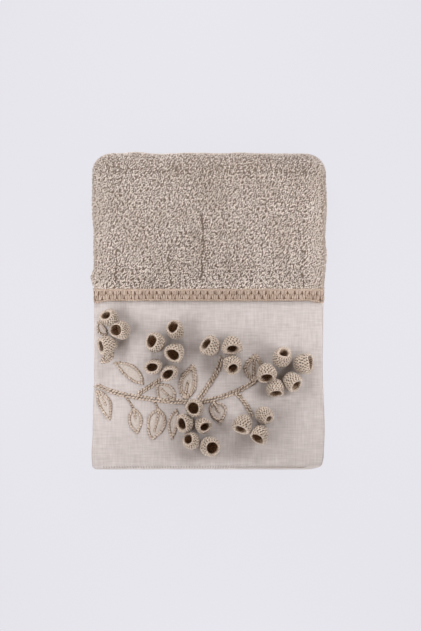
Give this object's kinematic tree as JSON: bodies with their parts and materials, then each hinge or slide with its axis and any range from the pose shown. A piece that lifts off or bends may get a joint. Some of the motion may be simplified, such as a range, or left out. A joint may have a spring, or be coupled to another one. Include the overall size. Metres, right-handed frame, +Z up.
{
  "type": "bath towel",
  "caption": "Terry bath towel folded in thirds and quarters, its linen end on top with a crocheted insertion and an embroidered spray of leaves and seed cups.",
  "frame": {"origin": "middle of the folded towel's footprint, on the surface that it lies on", "axes": "+X across the folded towel, +Y from the linen's hem to the fold at the top, +Z up"},
  "size_m": [0.2349, 0.318, 0.06],
  "materials": {
    "terry_cloth": "cotton loops, matte",
    "crochet_cotton": "crocheted cotton, matte",
    "linen_cloth": "plain weave, washed",
    "embroidery_yarn": "soft twisted cotton, matte"
  },
  "bodies": {
    "root": {"terry_body": "terry_cloth", "crochet_insertion": "crochet_cotton", "linen_panel": "linen_cloth", "stem_main": "embroidery_yarn", "stem_left": "embroidery_yarn", "stem_middle": "embroidery_yarn", "stem_low": "embroidery_yarn", "stalk_near": "embroidery_yarn", "stalk_mid": "embroidery_yarn", "leaf_1": "embroidery_yarn", "leaf_2": "embroidery_yarn", "leaf_3": "embroidery_yarn", "leaf_4": "embroidery_yarn", "leaf_5": "embroidery_yarn", "leaf_6": "embroidery_yarn", "leaf_7": "embroidery_yarn", "leaf_8": "embroidery_yarn", "leaf_9": "embroidery_yarn", "leaf_10": "embroidery_yarn", "leaf_11": "embroidery_yarn", "cup_a1": "embroidery_yarn", "cup_a2": "embroidery_yarn", "cup_a3": "embroidery_yarn", "cup_b1": "embroidery_yarn", "cup_b2": "embroidery_yarn", "cup_b3": "embroidery_yarn", "cup_b4": "embroidery_yarn", "cup_b5": "embroidery_yarn", "cup_c1": "embroidery_yarn", "cup_c2": "embroidery_yarn", "cup_c3": "embroidery_yarn", "cup_d1": "embroidery_yarn", "cup_d2": "embroidery_yarn", "cup_d3": "embroidery_yarn", "cup_d4": "embroidery_yarn", "cup_d5": "embroidery_yarn", "cup_e1": "embroidery_yarn", "cup_e2": "embroidery_yarn", "cup_e3": "embroidery_yarn", "cup_e4": "embroidery_yarn", "cup_e5": "embroidery_yarn", "cup_f1": "embroidery_yarn", "cup_f2": "embroidery_yarn", "cup_f3": "embroidery_yarn"}
  },
  "joints": []
}
